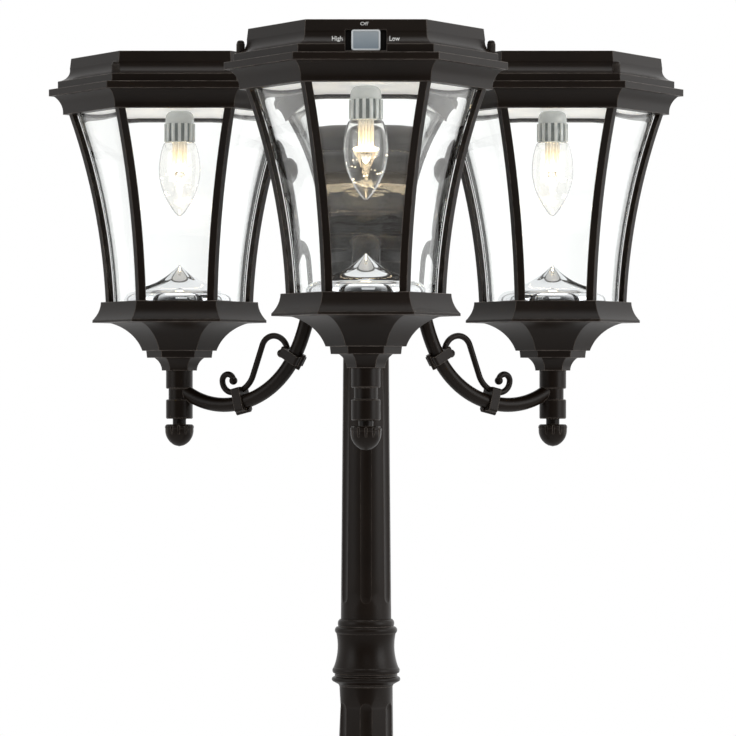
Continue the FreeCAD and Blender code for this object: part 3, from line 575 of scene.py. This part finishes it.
# ------------------------------------------------------------------ candle bulb
# A clear blown candle shape that hangs tip down, cemented on its plug. Clear rods inside lead
# the light of the lamp in the plug down to a bright ring with a cut crystal drop under it, and
# glowing specks on the inside of the glass are painted reflections of the ring.
bulb_clear = clear("bulb_glass", (0.99, 0.985, 0.97, 1), 0.0, 1.45)
bulb_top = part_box("bulb_glass_front")[1][2]
bulb_t = 0.0008
bulb_line = [(0.0133, 0.0), (0.0143, -0.0012), (0.0162, -0.0077), (0.0175, -0.0155),
             (0.0180, -0.0232), (0.0179, -0.0309), (0.0166, -0.0386), (0.0143, -0.0464),
             (0.0113, -0.0541), (0.0071, -0.0618), (0.0044, -0.0657), (0.0022, -0.0684),
             (0.0008, -0.0694)]
bulb = lathe("bulb", [(r, bulb_top + z) for r, z in bulb_line], 40, closed_end=True)
finish_with(bulb, "SOLIDIFY", thickness=bulb_t, offset=-1.0)
finish_with(bulb, "SUBSURF", levels=1, render_levels=1)
smooth(bulb, 60)
copies(bulb, "candle_bulb", bulb_clear, "bulb", ["bulb_glass"])

ring_z = 2.1063            # height of the bright ring under the rods
rods, rods_out, rod_r, rod_in = 6, 0.0052, 0.0011, 0.0002
guide = lathe("light_guide", [
    (0.0090, bulb_top - 0.0002), (0.0110, bulb_top + 0.0006), (0.0110, bulb_top + 0.0110),
    (0.0100, bulb_top + 0.0118), (0.0010, bulb_top + 0.0118)], 40)
bpy.ops.object.mode_set(mode="OBJECT")
guide_pieces = [guide]
for turn in range(rods + 1):
    out = rods_out if turn < rods else 0
    spot = Matrix.Rotation(2 * math.pi / rods * turn, 3, "Z") @ Vector((out, 0, 0))
    bpy.ops.mesh.primitive_cylinder_add(
        vertices=16, radius=rod_r, depth=bulb_top - ring_z + rod_in,
        location=(spot.x, spot.y, (bulb_top + ring_z) / 2))
    guide_pieces.append(bpy.context.object)
join(guide_pieces)
smooth(guide, 30)
rod_finish = Finish("clear_rods")
rod_share = rod_finish.clamp(rod_finish.axis(rod_finish.place(), "Z"), bulb_top, ring_z)
clear_rods = rod_finish.surface({
    "Base Color": rod_finish.mix(rod_share, (0.80, 0.80, 0.78, 1), (0.98, 0.86, 0.66, 1)),
    "Roughness": 0.08 + rod_share * 0.05, "IOR": 1.49, "Transmission Weight": 0.5,
    "Emission Color": rod_finish.mix(rod_share, (0.10, 0.09, 0.07, 1), (1.0, 0.74, 0.42, 1)),
    "Emission Strength": 0.6})
copies(guide, "light_guide", clear_rods, "bulb", ["bulb_core"])

drop = lathe("crystal_drop", [
    (0.0004, ring_z - 0.0016), (0.0038, ring_z - 0.0020), (0.0046, ring_z - 0.0046),
    (0.0030, ring_z - 0.0100), (0.0003, ring_z - 0.0136)], 9, closed_end=True)
soften(drop, 0.0002, 1, 15)
smooth(drop, 10)
copies(drop, "crystal_drop", bulb_clear, "bulb")


def bulb_out(down):
    """The outer radius of the bulb at a depth below its top."""
    for (r0, z0), (r1, z1) in zip(bulb_line, bulb_line[1:]):
        if -z0 <= down < -z1:
            return r1 + (r0 - r1) * (down + z1) / (z1 - z0)


ring = lathe("light_ring_and_painted_glints", [
    (0.0004, ring_z + 0.0017), (0.0070, ring_z + 0.0017), (0.0094, ring_z + 0.0012),
    (0.0102, ring_z), (0.0094, ring_z - 0.0012), (0.0070, ring_z - 0.0017),
    (0.0004, ring_z - 0.0017)], 36)
bpy.ops.object.mode_set(mode="OBJECT")
# Glowing specks just inside the glass: painted reflections of the ring, not parts of the bulb.
painted_glints, glint_turn = 26, 2.39996
glint_top, glint_span = 0.0300, 0.0300
glint_r, glint_more, glint_in = 0.00018, 0.00024, 0.0006
ring_and_glint_pieces = [ring]
for glint in range(painted_glints):
    down = glint_top + glint_span * (glint * 0.3090 % 1)
    wide = bulb_out(down) - bulb_t - glint_in
    turn = glint_turn * glint
    bpy.ops.mesh.primitive_ico_sphere_add(
        subdivisions=2, radius=glint_r + glint_more * (glint * 0.382 % 1),
        location=(wide * math.cos(turn), wide * math.sin(turn), bulb_top - down))
    ring_and_glint_pieces.append(bpy.context.object)
join(ring_and_glint_pieces)
smooth(ring, 50)
# The ring's glow is its lamp; the specks share it as painted reflections.
glow = Finish("light_ring_and_painted_glints")
glow_dots = glow.node("ShaderNodeTexVoronoi", {"Vector": glow.place(), "Scale": 420.0},
                      output="Distance")
ring_glow_and_painted_glints = glow.surface({
    "Base Color": (1.0, 0.86, 0.62, 1), "Roughness": 0.2 + glow_dots * 0.2,
    "Emission Color": glow.mix(glow_dots, (1.0, 0.88, 0.68, 1), (1.0, 0.74, 0.42, 1)),
    "Emission Strength": 17.0})
copies(ring, "light_ring_and_painted_glints", ring_glow_and_painted_glints, "bulb")

# ------------------------------------------------------------------ switch
# The rocker is tinted translucent plastic with a paler rim, in a dark pocket of the cap. The
# words for its three places are printed on the cap in pale ink.
tinted = Finish("switch_plastic")
tinted_flow = tinted.grain(90.0)
rocker_foot, rocker_head = (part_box("switch_rocker_front")[way][2] + (0.0012, -0.0012)[way]
                            for way in (0, 1))
tinted_rise = tinted.clamp(tinted.axis(tinted.place(), "Z"), rocker_foot, rocker_head)
# The tinted plastic is paler towards the top and darker towards the bottom.
switch_plastic = tinted.surface({
    "Base Color": tinted.mix(tinted_rise * 0.8 + tinted_flow * 0.2, (0.22, 0.28, 0.33, 1),
                             (0.40, 0.44, 0.47, 1)),
    "Roughness": 0.25 + tinted_flow * 0.1, "Coat Weight": 0.3})
rim_pale = Finish("switch_rim")
rim_flow = rim_pale.grain(90.0)
switch_rim = rim_pale.surface({
    "Base Color": rim_pale.mix(rim_flow, (0.66, 0.69, 0.71, 1), (0.74, 0.77, 0.78, 1)),
    "Roughness": 0.3 + rim_flow * 0.1})
rocker_w, rocker_out, rocker_slope, rocker_back = 0.0244, 0.09796, 0.0055, 0.0885
corner_r, rim_w, window_edge, window_deep = 0.0021, 0.0012, 0.0003, 0.0004
slope_normal_z = 0.295
touch = 0.0001
deselect()
bpy.ops.mesh.primitive_cube_add(size=1.0, location=(0, 0, 0))
rocker = work_on("rocker")
bpy.ops.transform.resize(value=(rocker_w, rocker_out - rocker_back, rocker_head - rocker_foot))
bpy.ops.transform.translate(value=(0, -(rocker_out + rocker_back) / 2,
                                   (rocker_foot + rocker_head) / 2))
pick(rocker, lambda at: at.y < -rocker_back - touch and at.z > rocker_head - touch, "VERT")
bpy.ops.transform.translate(value=(0, rocker_slope, 0))
pick(rocker, lambda at: abs(at.x) > rocker_w / 2 - touch
     and (at.z > rocker_head - touch or at.z < rocker_foot + touch), "EDGE")
bpy.ops.mesh.bevel(offset=corner_r, segments=6)
pick(rocker, lambda at: abs(at.x) < near and at.y < -rocker_out + rocker_slope
     and rocker_foot + corner_r < at.z < rocker_head - corner_r)
bpy.ops.mesh.inset(thickness=rim_w, depth=0.0)
bpy.ops.mesh.inset(thickness=window_edge, depth=-window_deep)
smooth(rocker, 35)
rocker_sets = copies(rocker, "rocker", switch_rim, "switch",
                     ["switch_rocker"])
for made in rocker_sets.values():
    made.data.materials.append(switch_plastic)
    sloping = [face for face in made.data.polygons
               if abs(face.normal.z - slope_normal_z) < 0.01]
    max(sloping, key=lambda face: face.area).material_index = 1

ink = Finish("pale_ink")
ink_flow = ink.grain(2500.0)
pale_ink = ink.surface({
    "Base Color": ink.mix(ink_flow, (0.62, 0.62, 0.60, 1), (0.78, 0.78, 0.76, 1)),
    "Roughness": 0.5 + ink_flow * 0.1})
letter_h, letter_w, letter_bold = 0.0050, 1.02, 0.00010
ink_off, ink_t = 0.00014, 0.00005
to_lantern = Matrix.Translation((0, -arm_reach, 0))
to_post = Matrix.Translation((0, arm_reach, 0))
for word, x, z, out, tilt, tall in (("Off", -0.0015, 2.2034, 0.0895, 84, 0.80),
                                    ("High", -0.0242, 2.1938, 0.0925, 52, 0.54),
                                    ("Low", 0.0240, 2.1938, 0.0925, 52, 0.54)):
    deselect()
    bpy.ops.object.text_add(location=(0, 0, 0))
    label = bpy.context.object
    label.data.body = word
    label.data.size = letter_h
    label.data.offset = letter_bold
    label.data.align_x = "CENTER"
    label.data.align_y = "CENTER"
    label.data.resolution_u = 4
    bpy.ops.object.convert(target="MESH")
    label = bpy.context.object
    label.rotation_euler = (math.radians(tilt), 0, 0)
    label.scale = (letter_w, tall, 1)
    label.location = (x, -out - 0.004, z + 0.003)
    bpy.ops.object.transform_apply(location=True, rotation=True, scale=True)
    label.data.transform(to_lantern)
    finish_with(label, "SHRINKWRAP", target=nodes["lantern_cap_front"],
                wrap_method="NEAREST_SURFACEPOINT", wrap_mode="ABOVE_SURFACE", offset=ink_off)
    finish_with(label, "SOLIDIFY", thickness=ink_t, offset=1.0)
    label.data.transform(to_post)
    copies(label, "label_" + word.lower(), pale_ink, "cap")

# ------------------------------------------------------------------ thumb screws
# Blackened brass screws with a knurled barrel head, one at each side of the cap. Their shanks
# run through the skirt into the crown and hold the cap down.
screw_black = bronze("screw_black", 0.5, 0.22)
screw_out = 0.1085
screw_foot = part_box("thumb_screw_a_front")[0][2]
screw_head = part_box("thumb_screw_a_front")[1][2]
barrel_foot = screw_head - 0.0115
shank_r, barrel_r, knurls = 0.0020, 0.0034, 18
knob = lathe("thumb_screw", [
    (0.0002, screw_foot), (0.0016, screw_foot), (shank_r, screw_foot + 0.0005),
    (shank_r, barrel_foot + 0.0001), (0.0031, barrel_foot + 0.0001),
    (barrel_r, barrel_foot + 0.0006), (barrel_r, screw_head - 0.0028),
    (0.0032, screw_head - 0.0014), (0.0026, screw_head - 0.0005), (0.0016, screw_head),
    (0.0002, screw_head)], knurls * 2)
ribbed(knob, knurls, barrel_r - 0.0001, barrel_foot + 0.001, screw_head, 0.0003)
soften(knob, 0.0001, 1, 35)
smooth(knob, 35)
for letter, way in (("a", 1), ("b", -1)):
    screw = twin_of(knob) if letter == "a" else knob
    screw.data.transform(Matrix.Translation((way * screw_out, 0, 0)))
    copies(screw, "knurled_screw_" + letter, screw_black, "screw_" + letter,
           ["thumb_screw_" + letter])
